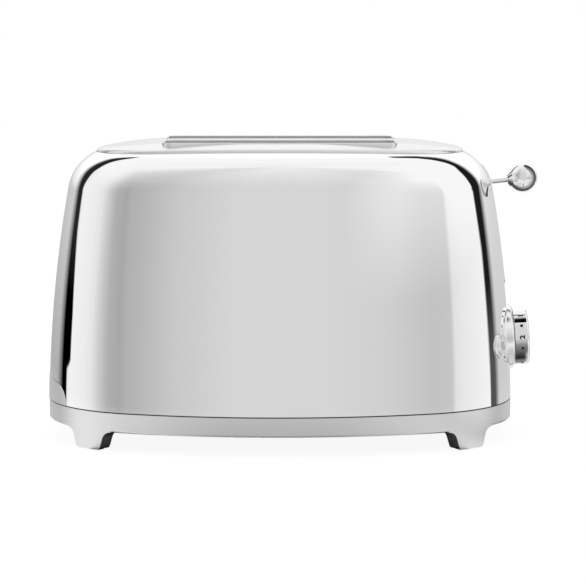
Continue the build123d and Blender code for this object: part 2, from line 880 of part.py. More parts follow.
def make_end_frame(side):
    near, far = frame_inner, frame_inner + frame_sheet
    plate = upright_box((near, far), (-frame_half_width, frame_half_width), (frame_bottom, frame_top))
    parts = []
    for half in (-1, 1):
        y_range = sorted((half * frame_half_width, half * (frame_half_width - frame_leg_width)))
        parts.append(upright_box((near, far), y_range, (pan_top, frame_bottom)))
        parts.append(upright_box((near, far + frame_foot), y_range, (pan_top, pan_top + frame_sheet)))
    if side > 0:
        for low in (rod_foot - frame_sheet, frame_top - frame_sheet):
            y_range = (-flange_half_width, flange_half_width)
            parts.append(upright_box((near, far + flange_reach), y_range, (low, low + frame_sheet)))
    upper_corners = plate.edges().filter_by(Axis.X).group_by(Axis.Z)[-1]
    frame = join([chamfer(upper_corners, frame_corner_cut)] + parts)
    cuts = []
    slot_low = lifter_height - lifter_depth - carriage_down - lifter_slot_spare
    slot_high = lifter_height + carriage_up + lifter_slot_spare
    for half in (-1, 1):
        y_range = sorted(half * slot_centre + edge * lifter_slot_width / 2 for edge in (-1, 1))
        cuts.append(upright_box((near - frame_sheet, far + frame_sheet), y_range, (slot_low, slot_high)))
    for y in cage_places():
        hole = Rot(0, 90, 0) * Cylinder(wire_radius + pin_clearance, 4 * frame_sheet)
        cuts.append(Pos(near, y, cage_height) * hole)
    frame = frame.cut(*cuts)
    return frame if side > 0 else Rot(0, 0, 180) * frame


def make_reflector(side):
    y_range = sorted((side * reflector_y, side * (reflector_y + reflector_sheet)))
    sheet = upright_box((-frame_inner, frame_inner), y_range, (reflector_bottom, reflector_top))
    hems = []
    for low in (reflector_bottom, reflector_top - reflector_sheet):
        hem_range = sorted((side * reflector_y, side * (reflector_y - reflector_hem)))
        hem = upright_box((-card_half_length, card_half_length), hem_range, (low, low + reflector_sheet))
        hems.append(hem)
    return join([sheet] + hems)


def make_heater_card(place):
    half = card_thickness / 2
    card = upright_box((-card_half_length, card_half_length), (-half, half), (card_bottom, card_top))
    tabs = []
    for low in (card_bottom, card_top - card_tab):
        tabs.append(upright_box((-frame_inner, frame_inner), (-half, half), (low, low + card_tab)))
    return Pos(0, place, 0) * join([card] + tabs)


def make_heater_ribbon(place):
    """Flat resistance ribbon wound round a card: level runs on one face, sloping runs on the other."""
    half = card_thickness / 2
    outer = half + ribbon_thickness
    reach = card_half_length + ribbon_thickness
    runs = []
    for turn in range(ribbon_turns):
        low = ribbon_first + turn * ribbon_pitch
        high = low + ribbon_width
        runs.append(upright_box((-reach, reach), (-outer, -half), (low, high)))
        runs.append(upright_box((card_half_length, reach), (-outer, outer), (low, high)))
        if turn == ribbon_turns - 1:
            break
        above = low + ribbon_pitch
        slope = make_face(
            Polyline(
                (reach, half, low),
                (reach, half, high),
                (-reach, half, above + ribbon_width),
                (-reach, half, above),
                close=True,
            )
        )
        runs.append(extrude(slope, ribbon_thickness, dir=(0, 1, 0)))
        z_range = (above, above + ribbon_width)
        runs.append(upright_box((-reach, -card_half_length), (-outer, outer), z_range))
    return Pos(0, place, 0) * join(runs)


def make_guide_cage(place):
    def wire(start, end):
        direction = Vector(*end) - Vector(*start)
        plane = Plane(origin=(Vector(*start) + Vector(*end)) / 2, z_dir=direction)
        return plane * Cylinder(wire_radius, direction.length)

    pin_end = frame_inner + frame_sheet + cage_pin_reach
    wires = [
        wire((-pin_end, 0, cage_height), (pin_end, 0, cage_height)),
        wire((-cage_half_length, 0, cage_top), (cage_half_length, 0, cage_top)),
    ]
    for index in range(cage_wires):
        x = -cage_half_length + index * 2 * cage_half_length / (cage_wires - 1)
        wires.append(wire((x, 0, cage_height), (x, 0, cage_top)))
    return Pos(0, place, 0) * join(wires)


# Bread carriage and what guides it


def make_lifter(side):
    blade_top = lifter_height - lifter_sheet
    half = lifter_sheet / 2
    blade_low = lifter_height - lifter_depth
    blade = upright_box((-lifter_far_end, bracket_x), (-half, half), (blade_low, blade_top))
    tabs = []
    pitch = 2 * cage_half_length / (cage_wires - 1)
    for index in range(cage_wires - 1):
        x = -cage_half_length + (index + 0.5) * pitch
        x_range = (x - lifter_tab_length / 2, x + lifter_tab_length / 2)
        tabs.append(upright_box(x_range, (-lifter_tab_half, lifter_tab_half), (blade_top, lifter_height)))
    ridge_range = (-lifter_ridge_width / 2, lifter_ridge_width / 2)
    ridge = upright_box((-cage_half_length, cage_half_length), ridge_range, (blade_top, lifter_height))
    return Pos(0, side * slot_centre, 0) * join([blade, ridge] + tabs)


def lever_plane():
    """A plane square to the lever's stem where the stem crosses the end wall, facing out."""
    x = body_length / 2 - stem_wall_inset
    rise = radians(lever_rise)
    return Plane(origin=(x, 0, stem_wall_height), x_dir=(0, 1, 0), z_dir=(cos(rise), 0, sin(rise)))


def shoulder_inset(height):
    """How far the rolled shoulder is drawn in at a height."""
    centre_inset, centre_height, radius, first, last = shell_profile[1]
    return centre_inset - (radius**2 - (height - centre_height) ** 2) ** 0.5


stem_wall_inset = shoulder_inset(stem_wall_height)
boss_face = bracket_x + bracket_sheet
rise_per_run = sin(radians(lever_rise)) / cos(radians(lever_rise))
stem_at_boss = body_length / 2 - stem_wall_inset - boss_face
boss_height = stem_wall_height - stem_at_boss * rise_per_run
boss_distance = -stem_at_boss / cos(radians(lever_rise))
bracket_top = boss_height - tongue_rise
ear_low = bracket_bottom + 2 * bracket_sheet
ear_high = bracket_top - bracket_sheet
core_top = rod_foot + core_height
armature_low = core_top + magnet_gap + carriage_down


def make_carriage_bracket():
    x_range = (bracket_x, boss_face)
    ear_range = (bracket_x, boss_face + ear_length)
    tongue_top = boss_height + boss_radius + 2 * bracket_sheet
    parts = [
        upright_box(x_range, (-bracket_half_width, bracket_half_width), (bracket_bottom, bracket_top)),
        upright_box(x_range, (-tongue_half_width, tongue_half_width), (bracket_top, tongue_top)),
    ]
    for low in (ear_low, ear_high):
        for side in (-1, 1):
            y_range = sorted((side * ear_inner_y, side * bracket_half_width))
            parts.append(upright_box(ear_range, y_range, (low, low + bracket_sheet)))
    armature_top = armature_low + armature_thickness
    tab_range = (armature_top, armature_top + bracket_sheet)
    parts.append(upright_box(ear_range, (-armature_half_width, armature_half_width), tab_range))
    boss = disc(lever_plane(), boss_radius, boss_distance - bracket_sheet, boss_distance + boss_length)
    boss &= upright_box((bracket_x, body_length), (-rod_y, rod_y), (0, body_height))
    parts.append(boss)
    bracket = join(parts)
    hole = Cylinder(rod_radius + ear_clearance, body_height)
    for side in (-1, 1):
        bracket -= Pos(rod_x, side * rod_y, bracket_bottom) * hole
    bracket -= disc(lever_plane(), stem_radius, boss_distance + bracket_sheet, 0)
    return bracket


def make_carriage_bushes():
    bushes = []
    for side in (-1, 1):
        low, high = ear_low + bracket_sheet, ear_high
        bush = Cylinder(bush_radius, high - low) - Cylinder(rod_radius + running_clearance, 2 * body_height)
        bushes.append(Pos(rod_x, side * rod_y, (low + high) / 2) * bush)
    return bushes


def make_carriage_rods():
    rods = []
    for side in (-1, 1):
        length = frame_top - frame_sheet - rod_foot
        rods.append(Pos(rod_x, side * rod_y, rod_foot + length / 2) * Cylinder(rod_radius, length))
    return rods


def make_return_spring():
    """Compression spring round the front guide rod, from the frame's flange to the bracket's lower ear."""
    inner = rod_radius + 2 * running_gap
    mean = inner + spring_wire / 2
    length = ear_low - rod_foot - spring_wire
    helix = Helix(pitch=length / spring_turns, height=length, radius=mean)
    start = Plane(origin=helix @ 0, z_dir=helix % 0)
    coil = sweep(start * Circle(spring_wire / 2), helix)
    return Pos(rod_x, -rod_y, rod_foot + spring_wire / 2) * coil


def make_armature():
    x_range = (boss_face + armature_inset, boss_face + ear_length - armature_inset)
    y_range = (-core_half_width, core_half_width)
    return upright_box(x_range, y_range, (armature_low, armature_low + armature_thickness))


def middle_post(low, high):
    """The magnet's middle post, which the coil is wound round."""
    near = boss_face + core_inset + middle_post_inset
    far = boss_face + ear_length - core_inset - middle_post_inset
    return upright_box((near, far), (-middle_post_half, middle_post_half), (low, high))


def make_magnet_core():
    x_range = (boss_face + core_inset, boss_face + ear_length - core_inset)
    core = upright_box(x_range, (-core_half_width, core_half_width), (rod_foot, rod_foot + core_post))
    posts = []
    for side in (-1, 1):
        y_range = sorted((side * core_half_width, side * (core_half_width - core_post)))
        posts.append(upright_box(x_range, y_range, (rod_foot, core_top)))
    posts.append(middle_post(rod_foot, core_top))
    return join([core] + posts)


def make_magnet_coil():
    low, high = rod_foot + core_post, core_top - coil_top_gap
    x_range = (boss_face + core_inset, boss_face + ear_length - core_inset)
    coil = upright_box(x_range, (-coil_half_width, coil_half_width), (low, high))
    coil = fillet(coil.edges().filter_by(Axis.Z), coil_corner_radius)
    return coil - middle_post(rod_foot, core_top)


# Lever


def make_lever_stem():
    start = boss_distance + bracket_sheet
    end = ball_reach - ball_radius + stem_in_ball - neck_overlap
    return disc(lever_plane(), stem_radius, start, end)


neck_overlap = ball_reach - ball_radius - neck_reach


def make_lever_knob():
    plane = lever_plane()
    ball = plane * Pos(0, 0, ball_reach) * Sphere(ball_radius)
    # The neck's cone touches the ball a little outside its near pole.
    touch = ball_reach - ball_radius * neck_touch_share
    touch_radius = ball_radius * (1 - neck_touch_share**2) ** 0.5
    cone = Cone(neck_radius, touch_radius, touch - neck_reach)
    neck = plane * Pos(0, 0, (neck_reach + touch) / 2) * cone
    knob = join([ball, neck])
    return knob - disc(plane, stem_radius, 0, ball_reach - ball_radius + stem_in_ball - neck_overlap)


def make_slot_trim():
    band = ring_round(end_arcs, skin_section(-trim_proud, 0))
    middle = (lever_slot_bottom + lever_slot_top) / 2
    outer = stadium_prism(
        lever_slot_width + 2 * trim_width,
        lever_slot_bottom - trim_width,
        lever_slot_top + trim_width,
        (bracket_x, body_length),
    )
    return (band & outer) - lever_slot_tool()


# Dial, buttons and board


def make_dial_bezel():
    outside = ring_round(end_arcs, skin_section(0, 3 * ring_depth))
    foot = 2.0 * bezel_depth
    lean = (bezel_foot_radius - bezel_top_radius) / bezel_depth
    cone = Cone(bezel_foot_radius + lean * foot / 2, bezel_top_radius, foot / 2 + bezel_depth)
    cone = Pos(0, 0, (bezel_depth - foot / 2) / 2) * cone
    cone = fillet(cone.faces().sort_by(Axis.Z)[-1:].edges(), bezel_edge_round)
    skirt = (dial_plane * cone) - outside
    skirt = skirt.solids().sort_by(SortBy.VOLUME)[-1]
    spigot = disc(dial_plane, bezel_spigot_radius, -bezel_spigot_depth, bezel_depth / 2)
    bezel = join([skirt, spigot])
    return bezel - disc(dial_plane, shaft_radius + running_clearance, -4 * bezel_depth, 4 * bezel_depth)


dial_low = bezel_depth + dial_gap
dial_high = dial_low + dial_depth


def make_dial_knob():
    knob = Pos(0, 0, (dial_low + dial_high) / 2) * Cylinder(dial_radius, dial_depth)
    knob = fillet(knob.faces().sort_by(Axis.Z)[-1:].edges(), dial_edge_round)
    pocket_low = dial_high + cancel_proud - cancel_depth - cancel_stroke - dial_gap
    pocket = Pos(0, 0, (pocket_low + 2 * dial_high) / 2) * Cylinder(
        cancel_radius + running_clearance, 2 * dial_high - pocket_low
    )
    shaft = Pos(0, 0, (dial_low - shaft_depth) / 2) * Cylinder(shaft_radius, dial_low + shaft_depth)
    return dial_plane * join([knob - pocket, shaft])


def make_cancel_button():
    cap = Pos(0, 0, dial_high + cancel_proud - cancel_depth / 2) * Cylinder(cancel_radius, cancel_depth)
    return dial_plane * fillet(cap.faces().sort_by(Axis.Z)[-1:].edges(), cap_edge_round)


def make_button_rings():
    rings = []
    for plane in button_planes:
        ring = Pos(0, 0, (ring_proud - ring_depth) / 2) * Cylinder(ring_radius, ring_proud + ring_depth)
        ring = fillet(ring.faces().sort_by(Axis.Z)[-1:].edges(), cap_edge_round)
        middle = -ring_flange_depth - ring_flange_thickness / 2
        flange = Pos(0, 0, middle) * Cylinder(ring_flange_radius, ring_flange_thickness)
        ring = join([ring, flange]) - Cylinder(button_radius + running_clearance, 4 * ring_depth)
        rings.append(plane * ring)
    return rings


def stem_length(plane):
    """How far a button's stem reaches in, leaving room for its stroke over its switch."""
    inward = plane.z_dir.X
    room = button_stroke + magnet_gap + button_stem_radius * abs(plane.z_dir.Y)
    return (plane.origin.X - board_x - board_thickness - switch_height - room) / inward


def make_button(plane):
    cap = Pos(0, 0, (button_proud - button_body) / 2) * Cylinder(button_radius, button_proud + button_body)
    cap = fillet(cap.faces().sort_by(Axis.Z)[-1:].edges(), cap_edge_round)
    length = stem_length(plane)
    stem = Pos(0, 0, -length / 2) * Cylinder(button_stem_radius, length)
    return plane * join([cap, stem])


board_front = board_x + board_thickness


def switch_centre(plane):
    """Where a button's stem meets the board: across and height."""
    length = stem_length(plane)
    return (
        plane.origin.Y - length * plane.z_dir.Y,
        plane.origin.Z - length * plane.z_dir.Z,
    )


def make_button_switches():
    switches = []
    half = switch_size / 2
    x_range = (board_front, board_front + switch_height)
    for plane in button_planes:
        y, z = switch_centre(plane)
        switches.append(upright_box(x_range, (y - half, y + half), (z - half, z + half)))
    return switches


def make_dial_encoder():
    half = encoder_size / 2
    reach = (dial_plane.origin.X - board_front) - shaft_depth * dial_plane.z_dir.X
    centre = dial_plane.origin.Z - shaft_depth * dial_plane.z_dir.Z
    body = upright_box(
        (board_front, board_front + encoder_height),
        (-half, half),
        (centre - half, centre + half),
    )
    bore = disc(dial_plane, shaft_radius + encoder_clearance, -shaft_depth - reach / 4, 0)
    return body - bore


def post_points():
    return [
        (y, z)
        for y in (-post_y, post_y)
        for z in (board_bottom + post_inset, board_top - post_inset)
    ]


def make_control_board():
    y_range = (-board_half_width, board_half_width)
    board = upright_box((board_x, board_front), y_range, (board_bottom, board_top))
    relay_range = (board_front, board_front + relay_depth)
    relay_low = board_bottom + relay_rise
    relay = upright_box(relay_range, (relay_left, relay_right), (relay_low, relay_low + relay_height))
    return join([board, relay])


def make_board_posts():
    length = board_x - frame_inner - frame_sheet
    posts = []
    for y, z in post_points():
        post = Rot(0, 90, 0) * Cylinder(post_radius, length)
        posts.append(Pos(board_x - length / 2, y, z) * post)
    return posts


def make_power_switch():
    """Block of the mains contacts that the carriage closes at the bottom of its travel."""
    x_range = (frame_inner + frame_sheet, bracket_x - bracket_sheet)
    y_range = (-contact_block_half_width, contact_block_half_width)
    return upright_box(x_range, y_range, (rod_foot, rod_foot + contact_block_height))


# Every node, moved so that the origin is under the middle of the whole

knob_far_x = lever_plane().origin.X + ball_reach * cos(radians(lever_rise)) + ball_radius
shift = -(knob_far_x - body_length / 2 - tray_front_proud) / 2

nodes = {
    "body_shell": make_body_shell(),
    "top_plate": make_top_plate(),
    "slot_frame_front": make_slot_frame(-1),
    "slot_frame_rear": make_slot_frame(1),
    "base_skirt": make_skirt(),
    "rim_seal": make_rim_seal(),
    "foot_pads": group(make_foot_pads()),
    "base_pan": make_base_pan(),
    "base_screws": group(make_base_screws()),
    "tray_rails": group(make_tray_rails()),
    "cord_gland": make_cord_gland(),
    "cord_wrap": group(make_cord_wrap()),
    "terminal_block": make_terminal_block(),
    "crumb_tray": make_crumb_tray(),
    "tray_front": make_tray_front(),
    "end_frame_left": make_end_frame(-1),
    "end_frame_right": make_end_frame(1),
    "reflector_front": make_reflector(-1),
    "reflector_rear": make_reflector(1),
    "carriage_rods": group(make_carriage_rods()),
    "return_spring": make_return_spring(),
    "magnet_core": make_magnet_core(),
    "magnet_coil": make_magnet_coil(),
    "power_switch": make_power_switch(),
    "lifter_front": make_lifter(-1),
    "lifter_rear": make_lifter(1),
    "carriage_bracket": make_carriage_bracket(),
    "carriage_bushes": group(make_carriage_bushes()),
    "armature_plate": make_armature(),
    "lever_stem": make_lever_stem(),
    "lever_knob": make_lever_knob(),
    "lever_slot_trim": make_slot_trim(),
    "dial_bezel": make_dial_bezel(),
    "dial_knob": make_dial_knob(),
    "cancel_button": make_cancel_button(),
    "button_rings": group(make_button_rings()),
    "reheat_button": make_button(button_planes[0]),
    "defrost_button": make_button(button_planes[1]),
    "button_switches": group(make_button_switches()),
    "dial_encoder": make_dial_encoder(),
    "control_board": make_control_board(),
    "board_posts": group(make_board_posts()),
}
for number, place in enumerate(card_places(), 1):
    nodes[f"heater_card_{number}"] = make_heater_card(place)
    nodes[f"heater_ribbon_{number}"] = make_heater_ribbon(place)
for number, place in enumerate(cage_places(), 1):
    nodes[f"guide_cage_{number}"] = make_guide_cage(place)

os.makedirs("parts", exist_ok=True)
for name, shape in nodes.items():
    placed = group([Pos(shift, 0, 0) * solid for solid in shape.solids()])
    export_step(placed, f"parts/{name}.step")
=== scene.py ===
import json
import math

import bmesh
import bpy
import numpy as np
from mathutils import Matrix, Vector


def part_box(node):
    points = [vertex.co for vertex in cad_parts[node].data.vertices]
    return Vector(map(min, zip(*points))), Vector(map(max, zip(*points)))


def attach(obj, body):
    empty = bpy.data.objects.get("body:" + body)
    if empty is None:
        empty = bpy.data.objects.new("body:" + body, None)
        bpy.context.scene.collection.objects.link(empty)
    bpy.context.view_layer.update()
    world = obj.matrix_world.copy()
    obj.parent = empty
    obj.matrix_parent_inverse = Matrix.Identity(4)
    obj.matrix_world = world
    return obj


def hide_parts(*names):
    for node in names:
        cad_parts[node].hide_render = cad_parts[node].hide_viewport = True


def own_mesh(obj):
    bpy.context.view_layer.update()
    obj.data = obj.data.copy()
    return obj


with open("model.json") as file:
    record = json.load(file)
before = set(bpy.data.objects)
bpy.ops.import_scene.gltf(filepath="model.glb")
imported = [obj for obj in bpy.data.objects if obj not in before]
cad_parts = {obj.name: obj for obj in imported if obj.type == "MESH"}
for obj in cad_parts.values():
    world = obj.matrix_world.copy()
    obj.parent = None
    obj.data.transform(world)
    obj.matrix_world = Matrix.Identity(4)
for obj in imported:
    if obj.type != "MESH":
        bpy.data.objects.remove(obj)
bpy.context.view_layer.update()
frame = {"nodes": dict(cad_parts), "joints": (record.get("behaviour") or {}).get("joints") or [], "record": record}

# Two-slice retro toaster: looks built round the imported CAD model, in metres, +Z up, the lever's end at +X
# and the broad front at -Y.

MM = 0.001
skirt_low, skirt_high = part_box("base_skirt")
middle_x = (skirt_low.x + skirt_high.x) / 2

# Outer surface of the body shell, from the same arcs of plan and profile as the part's own
half_length = (skirt_high.x - skirt_low.x) / 2
half_depth = (skirt_high.y - skirt_low.y) / 2
front_bow_radius = 312 * MM
end_bow_radius = 900 * MM
end_bow_width = 8 * MM
rim_height = 26 * MM
shoulder_height = 166.6 * MM
lean_at_rim = math.radians(1.05)
wall_bow_radius = 880 * MM
shoulder_radius = 32 * MM
shoulder_end_lean = math.radians(70)
crown_radius = 120 * MM
crown_end_lean = math.radians(80.645)
tiny = 1e-12


def corner_of_plan():
    """Centre and radius of the front right corner's arc, with y counted towards the front."""
    end_half = math.asin(end_bow_width / 2 / end_bow_radius)
    front_y = half_depth - front_bow_radius
    joint_x = half_length - end_bow_radius + end_bow_radius * math.cos(end_half)
    joint_y = end_bow_radius * math.sin(end_half)
    span_x, span_y = joint_x, joint_y - front_y
    along = math.cos(end_half) * span_x + math.sin(end_half) * span_y
    radius = (front_bow_radius**2 - span_x**2 - span_y**2) / (2 * (front_bow_radius - along))
    return joint_x - radius * math.cos(end_half), joint_y - radius * math.sin(end_half), radius


corner_x, corner_y, corner_radius = corner_of_plan()


def profile_arcs():
    """Wall, shoulder and crown as centre inset, centre height, radius, first and last lean."""
    inset, height, lean = 0.0, rim_height, lean_at_rim
    wall_end = math.asin(math.sin(lean) + (shoulder_height - height) / wall_bow_radius)
    arcs = []
    stretches = (
        (wall_bow_radius, wall_end),
        (shoulder_radius, shoulder_end_lean),
        (crown_radius, crown_end_lean),
    )
    for radius, end in stretches:
        arcs.append((inset + radius * math.cos(lean), height - radius * math.sin(lean), radius, lean, end))
        inset += radius * (math.cos(lean) - math.cos(end))
        height += radius * (math.sin(end) - math.sin(lean))
        lean = end
    return arcs


def on_shell(points):
    """Nearest places on the shell's outer surface to some points, the outward normals and the distances."""
    x, y, z = points[:, 0] - middle_x, points[:, 1], points[:, 2]
    side_x, side_y = np.sign(x + tiny), np.sign(tiny - y)
    ahead, out = np.abs(y), np.abs(x)
    front_centre = half_depth - front_bow_radius
    front_turn = np.arctan2(out, ahead - front_centre)
    front_half = math.atan2(corner_x, corner_y - front_centre)
    end_turn = np.arctan2(out - (half_length - end_bow_radius), ahead)
    end_half = math.asin(end_bow_width / 2 / end_bow_radius)
    corner_turn = np.arctan2(out - corner_x, ahead - corner_y)
    turn = np.where(front_turn <= front_half, front_turn, corner_turn)
    centre_x = np.where(front_turn <= front_half, 0.0, corner_x)
    centre_y = np.where(front_turn <= front_half, front_centre, corner_y)
    radius = np.where(front_turn <= front_half, front_bow_radius, corner_radius)
    at_end = corner_turn > math.pi / 2 - end_half
    turn = np.where(at_end, end_turn, turn)
    centre_x = np.where(at_end, half_length - end_bow_radius, centre_x)
    centre_y = np.where(at_end, 0.0, centre_y)
    radius = np.where(at_end, end_bow_radius, radius)
    reach = np.hypot(out - centre_x, ahead - centre_y)
    inset = radius - reach
    best = np.full(len(points), np.inf)
    best_inset, best_height, best_lean = inset.copy(), z.copy(), np.zeros(len(points))
    for arc_inset, arc_height, arc_radius, first, last in profile_arcs():
        lean = np.clip(np.arctan2(z - arc_height, arc_inset - inset), first, last)
        near_inset = arc_inset - arc_radius * np.cos(lean)
        near_height = arc_height + arc_radius * np.sin(lean)
        away = np.hypot(near_inset - inset, near_height - z)
        closer = away < best
        best = np.where(closer, away, best)
        best_inset = np.where(closer, near_inset, best_inset)
        best_height = np.where(closer, near_height, best_height)
        best_lean = np.where(closer, lean, best_lean)
    # All three arcs' angles are counted from straight ahead.
    across, forward = np.sin(turn), np.cos(turn)
    new_out = centre_x + (radius - best_inset) * across
    new_ahead = centre_y + (radius - best_inset) * forward
    places = np.stack([middle_x + side_x * new_out, -side_y * new_ahead, best_height], 1)
    normals = np.stack(
        [side_x * across * np.cos(best_lean), -side_y * forward * np.cos(best_lean), np.sin(best_lean)], 1
    )
    return places, normals, best


# Shader nodes


class Shader:
    """A material's or the world's node tree, with short ways to add and link nodes."""

    def __init__(self, tree):
        self.tree = tree
        tree.nodes.clear()

    def add(self, kind, **settings):
        node = self.tree.nodes.new(kind)
        for name, value in settings.items():
            setattr(node, name, value)
        return node

    def put(self, socket, value):
        if isinstance(value, bpy.types.NodeSocket):
            self.tree.links.new(value, socket)
        else:
            socket.default_value = value

    def math(self, operation, first, second=0.0):
        node = self.add("ShaderNodeMath", operation=operation)
        self.put(node.inputs[0], first)
        self.put(node.inputs[1], second)
        return node.outputs[0]

    def spread(self, value, low, high, to_low, to_high):
        """A number from to_low to to_high, as the value goes from low to high, and no further."""
        node = self.add("ShaderNodeMapRange")
        for index, entry in enumerate((value, low, high, to_low, to_high)):
            self.put(node.inputs[index], entry)
        return node.outputs[0]

    def share(self, value, low, high):
        """0 where the value is low, 1 where it is high, and in between a share of the way."""
        return self.spread(value, low, high, 0.0, 1.0)

    def blend(self, share, first, second):
        """A number between first and second."""
        return self.spread(share, 0.0, 1.0, first, second)

    def ramp(self, place, rows):
        """A colour that follows a place from 0 to 1, each row a place and the three numbers there."""
        node = self.add("ShaderNodeValToRGB")
        self.put(node.inputs[0], place)
        stops = node.color_ramp.elements
        while len(stops) > 1:
            stops.remove(stops[-1])
        for index, (position, *numbers) in enumerate(rows):
            stop = stops[0] if index == 0 else stops.new(position)
            stop.position = position
            stop.color = (*numbers, 1.0)
        return node.outputs[0]

    def split(self, vector):
        """A vector's x, y and z."""
        node = self.add("ShaderNodeSeparateXYZ")
        self.put(node.inputs[0], vector)
        return node.outputs

    def mix_colour(self, share, first, second):
        node = self.add("ShaderNodeMix", data_type="RGBA")
        self.put(node.inputs[0], share)
        self.put(node.inputs[6], first)
        self.put(node.inputs[7], second)
        return node.outputs[2]

    def noise(self, scale, detail, stretch=(1, 1, 1)):
        """A grain of about scale grains to the metre, and fewer along an axis whose stretch is below 1."""
        place = self.add("ShaderNodeTexCoord").outputs["Object"]
        mapping = self.add("ShaderNodeMapping")
        self.put(mapping.inputs["Vector"], place)
        mapping.inputs["Scale"].default_value = stretch
        node = self.add("ShaderNodeTexNoise")
        self.put(node.inputs["Vector"], mapping.outputs[0])
        node.inputs["Scale"].default_value = scale
        node.inputs["Detail"].default_value = detail
        node.inputs["Roughness"].default_value = grain_sharpness
        return node.outputs["Fac"]

    def bump(self, height, strength, distance):
        node = self.add("ShaderNodeBump")
        node.inputs["Strength"].default_value = strength
        node.inputs["Distance"].default_value = distance
        self.put(node.inputs["Height"], height)
        return node.outputs[0]


def grey(level):
    return (level, level, level, 1.0)


def new_material(name):
    material = bpy.data.materials.new(name)
    material.use_nodes = True
    shader = Shader(material.node_tree)
    surface = shader.add("ShaderNodeBsdfPrincipled")
    out = shader.add("ShaderNodeOutputMaterial")
    material.node_tree.links.new(surface.outputs[0], out.inputs[0])
    return material, shader, surface


# Noise stays between these two numbers nearly everywhere.
grain_low, grain_high = 0.3, 0.7
grain_sharpness = 0.6
metal_detail = 4.0
metal_relief = 0.02 * MM
moulded_detail = 5.0
moulded_relief = 0.05 * MM
roughness_swing = 0.06


def metal(name, colour, rough_low, rough_high, grain, stretch=(1, 1, 1), bump=0.0):
    """A bare metal whose roughness, and a little of its relief, follow a fine grain."""
    material, shader, surface = new_material(name)
    surface.inputs["Base Color"].default_value = (*colour, 1.0)
    surface.inputs["Metallic"].default_value = 1.0
    pattern = shader.noise(grain, metal_detail, stretch)
    roughness = shader.spread(pattern, grain_low, grain_high, rough_low, rough_high)
    shader.put(surface.inputs["Roughness"], roughness)
    if bump:
        shader.put(surface.inputs["Normal"], shader.bump(pattern, bump, metal_relief))
    return material


def moulded(name, colour, roughness, grain, speckle=0.12, bump=0.15):
    """Plastic, rubber or mica: a base colour that varies a little, with a fine moulded grain."""
    material, shader, surface = new_material(name)
    pattern = shader.noise(grain, moulded_detail)
    dark = tuple(channel * (1 - speckle) for channel in colour)
    light = tuple(min(channel * (1 + speckle), 1.0) for channel in colour)
    shader.put(surface.inputs["Base Color"], shader.mix_colour(pattern, (*dark, 1.0), (*light, 1.0)))
    limits = (roughness - roughness_swing, roughness + roughness_swing)
    shader.put(surface.inputs["Roughness"], shader.spread(pattern, grain_low, grain_high, *limits))
    shader.put(surface.inputs["Normal"], shader.bump(pattern, bump, moulded_relief))
    return material


# Each metal's colour, lowest and highest roughness and grain, or each moulding's colour, roughness and grain
materials = {
    "shell_chrome": metal("shell_chrome", (0.9, 0.9, 0.905), 0.015, 0.035, 60),
    "lever_chrome": metal("lever_chrome", (0.87, 0.87, 0.875), 0.09, 0.14, 200),
    "dial_metal": metal("dial_metal", (0.88, 0.88, 0.885), 0.05, 0.1, 300),
    "button_metal": metal("button_metal", (0.92, 0.92, 0.925), 0.14, 0.22, 300),
    "bezel_metal": metal("bezel_metal", (0.83, 0.83, 0.835), 0.14, 0.2, 300),
    "satin_steel": metal("satin_steel", (0.82, 0.82, 0.825), 0.42, 0.5, 900, bump=0.2),
    "plate_steel": metal("plate_steel", (0.8, 0.8, 0.805), 0.26, 0.34, 500, stretch=(0.05, 1, 1), bump=0.05),
    "sheet_steel": metal("sheet_steel", (0.55, 0.55, 0.56), 0.28, 0.42, 300, bump=0.3),
    "wire_steel": metal("wire_steel", (0.68, 0.68, 0.69), 0.18, 0.28, 600),
    "core_iron": metal("core_iron", (0.3, 0.3, 0.31), 0.4, 0.55, 500, bump=0.4),
    "bush_brass": metal("bush_brass", (0.8, 0.62, 0.3), 0.2, 0.32, 400),
    "coil_copper": metal("coil_copper", (0.72, 0.36, 0.18), 0.25, 0.35, 800, stretch=(1, 1, 8), bump=0.6),
    "ribbon": metal("ribbon", (0.42, 0.39, 0.37), 0.35, 0.5, 500),
    "mica": moulded("mica", (0.66, 0.58, 0.44), 0.45, 90, speckle=0.25),
    "rubber": moulded("rubber", (0.03, 0.03, 0.031), 0.7, 900, bump=0.3),
    "black_plastic": moulded("black_plastic", (0.025, 0.025, 0.027), 0.5, 900),
    "ivory_plastic": moulded("ivory_plastic", (0.7, 0.66, 0.57), 0.5, 600, speckle=0.04),
    "board_green": moulded("board_green", (0.03, 0.16, 0.07), 0.3, 400, speckle=0.3),
    "print_black": moulded("print_black", (0.012, 0.012, 0.012), 0.4, 800, bump=0.05),
}

# Each node has its slot's material, apart from these four, whose finish differs a little from their slot's.
node_material = {entry["node"]: entry["material_slot"] for entry in frame["record"]["subparts"]}
node_material["top_plate"] = "plate_steel"
node_material["slot_frame_front"] = "plate_steel"
node_material["slot_frame_rear"] = "plate_steel"
node_material["dial_bezel"] = "bezel_metal"


def dress(obj, material):
    if not obj.material_slots:
        obj.data.materials.append(material)
    for material_slot in obj.material_slots:
        material_slot.material = material


for node, obj in frame["nodes"].items():
    dress(obj, materials[node_material[node]])


def add_piece(name, data, material, body):
    obj = bpy.data.objects.new(name, data)
    bpy.context.scene.collection.objects.link(obj)
    dress(obj, materials[material])
    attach(obj, body)
    return obj


# Body shell: the CAD mesh divided finely, laid on the true surface, with the surface's own normals

near_surface = 0.35 * MM
merge_distance = 0.002 * MM
shell_cuts = 2
least_match = 0.8


